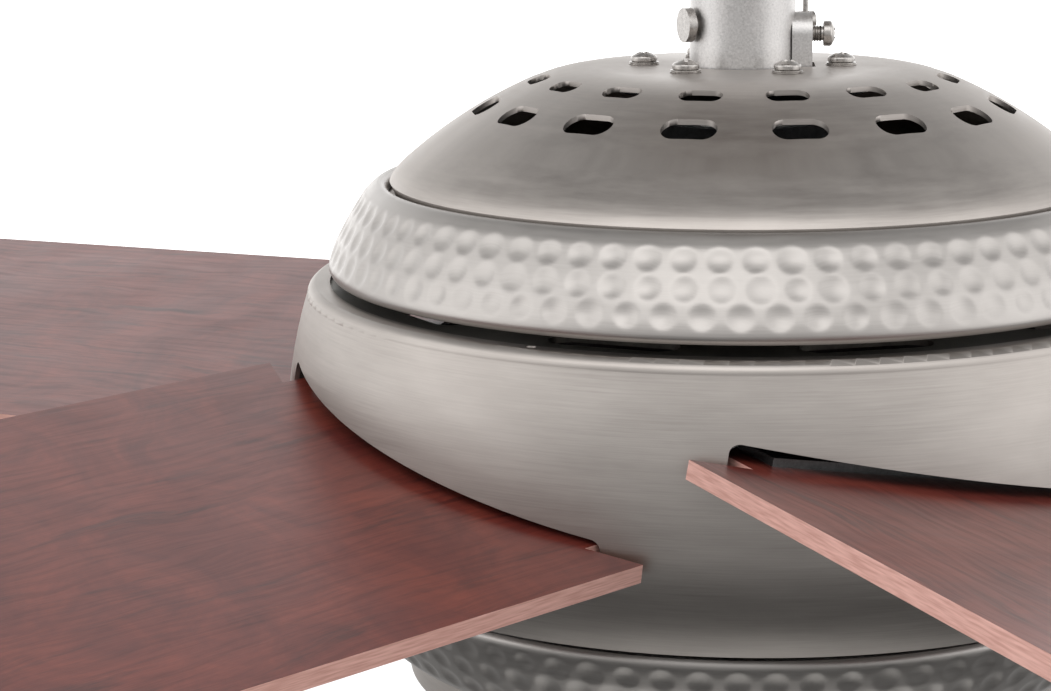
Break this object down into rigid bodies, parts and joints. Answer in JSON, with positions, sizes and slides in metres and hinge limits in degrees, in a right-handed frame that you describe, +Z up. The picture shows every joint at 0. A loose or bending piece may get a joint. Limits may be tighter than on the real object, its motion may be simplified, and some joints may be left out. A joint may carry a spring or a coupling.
{
  "type": "ceiling fan with light",
  "caption": "Downrod ceiling fan with wooden blades, hammered-band nickel motor housing and a glass bowl light kit under it.",
  "frame": {"origin": "centre of the ceiling bracket's screw pattern, in the ceiling plane", "axes": "+Z up into the ceiling along the fan's axis; -Y faces the viewer; +X right"},
  "size_m": [1.3336, 1.3225, 0.512],
  "materials": {
    "brushed_nickel": "satin nickel plate on pressed steel, brushed round the axis",
    "raw_steel": "light, finely grained bare steel",
    "zinc_steel": "bright zinc plated fasteners",
    "plated_sheet": "dull zinc plated sheet",
    "grey_nylon": "moulded nylon",
    "bearing_steel": "ground steel",
    "lamination_steel": "stacked laminations",
    "copper_winding": "enamelled copper coils",
    "cast_aluminium": "die-cast",
    "black_iron": "gloss black paint",
    "cherry_veneer": "red cherry laminate, satin",
    "black_plastic": "moulded",
    "switch_plastic": "moulded",
    "white_porcelain": "glazed",
    "lamp_cap": "threaded cap, modelled plain",
    "lamp_glass": "frosted bulb",
    "frosted_glass": "frosted white bowl",
    "gasket_rubber": "soft washer"
  },
  "bodies": {
    "ceiling_mount": {"ceiling_bracket": "plated_sheet", "canopy": "brushed_nickel", "canopy_trim_ring": "brushed_nickel", "canopy_screws": "zinc_steel"},
    "hanging_fan": {"hanger_ball": "grey_nylon", "ball_pin": "zinc_steel", "downrod": "raw_steel", "coupling_collar": "raw_steel", "clevis_pin": "zinc_steel", "clevis_clip": "zinc_steel", "collar_set_screw": "zinc_steel", "dome_screws": "zinc_steel", "dome_washers": "zinc_steel", "upper_dome": "brushed_nickel", "upper_hammered_band": "brushed_nickel", "motor_shaft": "bearing_steel", "stator_core": "lamination_steel", "stator_windings": "copper_winding", "upper_bearing_inner_ring": "bearing_steel", "lower_bearing_inner_ring": "bearing_steel", "light_mount_plate": "plated_sheet", "lower_hammered_band": "brushed_nickel", "light_pan": "brushed_nickel", "pan_nut": "zinc_steel", "run_capacitor": "black_plastic", "reverse_switch_case": "switch_plastic", "lamp_sockets": "white_porcelain", "bulb_bases": "lamp_cap", "bulb_globes": "lamp_glass", "bowl_rod": "zinc_steel", "bowl_stop_nut": "zinc_steel", "glass_bowl": "frosted_glass", "bowl_gasket": "gasket_rubber", "finial": "brushed_nickel"},
    "rotor": {"upper_bearing_outer_ring": "bearing_steel", "lower_bearing_outer_ring": "bearing_steel", "upper_motor_case": "cast_aluminium", "lower_motor_case": "cast_aluminium", "rotor_ring": "lamination_steel", "motor_case_screws": "zinc_steel", "housing_spider": "plated_sheet", "housing_screws": "zinc_steel", "middle_housing": "brushed_nickel", "blade_arm_1": "black_iron", "blade_arm_2": "black_iron", "blade_arm_3": "black_iron", "blade_arm_4": "black_iron", "blade_arm_5": "black_iron", "blade_1": "cherry_veneer", "blade_2": "cherry_veneer", "blade_3": "cherry_veneer", "blade_4": "cherry_veneer", "blade_5": "cherry_veneer", "blade_screws": "zinc_steel", "blade_washers": "zinc_steel", "arm_screws": "zinc_steel"},
    "upper_bearing_cage": {"upper_bearing_balls": "bearing_steel"},
    "lower_bearing_cage": {"lower_bearing_balls": "bearing_steel"},
    "reverse_slider": {"reverse_switch_slider": "switch_plastic"}
  },
  "joints": [
    {"name": "hanger_tilt", "type": "hinge", "parent": "ceiling_mount", "child": "hanging_fan", "pos_m": [0, 0, -0.042], "axis": [1, 0, 0], "range_deg": [-6, 6]},
    {"name": "rotor_spin", "type": "hinge", "parent": "hanging_fan", "child": "rotor", "pos_m": [0, 0, -0.26], "axis": [0, 0, 1], "continuous": true},
    {"name": "upper_cage_spin", "type": "hinge", "parent": "hanging_fan", "child": "upper_bearing_cage", "pos_m": [0, 0, -0.224], "axis": [0, 0, 1], "continuous": true},
    {"name": "lower_cage_spin", "type": "hinge", "parent": "hanging_fan", "child": "lower_bearing_cage", "pos_m": [0, 0, -0.296], "axis": [0, 0, 1], "continuous": true},
    {"name": "reverse_slide", "type": "slide", "parent": "hanging_fan", "child": "reverse_slider", "axis": [1, 0, 0], "range_m": [0, 0.006]}
  ],
  "couplings": [
    {"joint": "upper_cage_spin", "follows": "rotor_spin", "ratio": 0.6},
    {"joint": "lower_cage_spin", "follows": "rotor_spin", "ratio": 0.6}
  ]
}
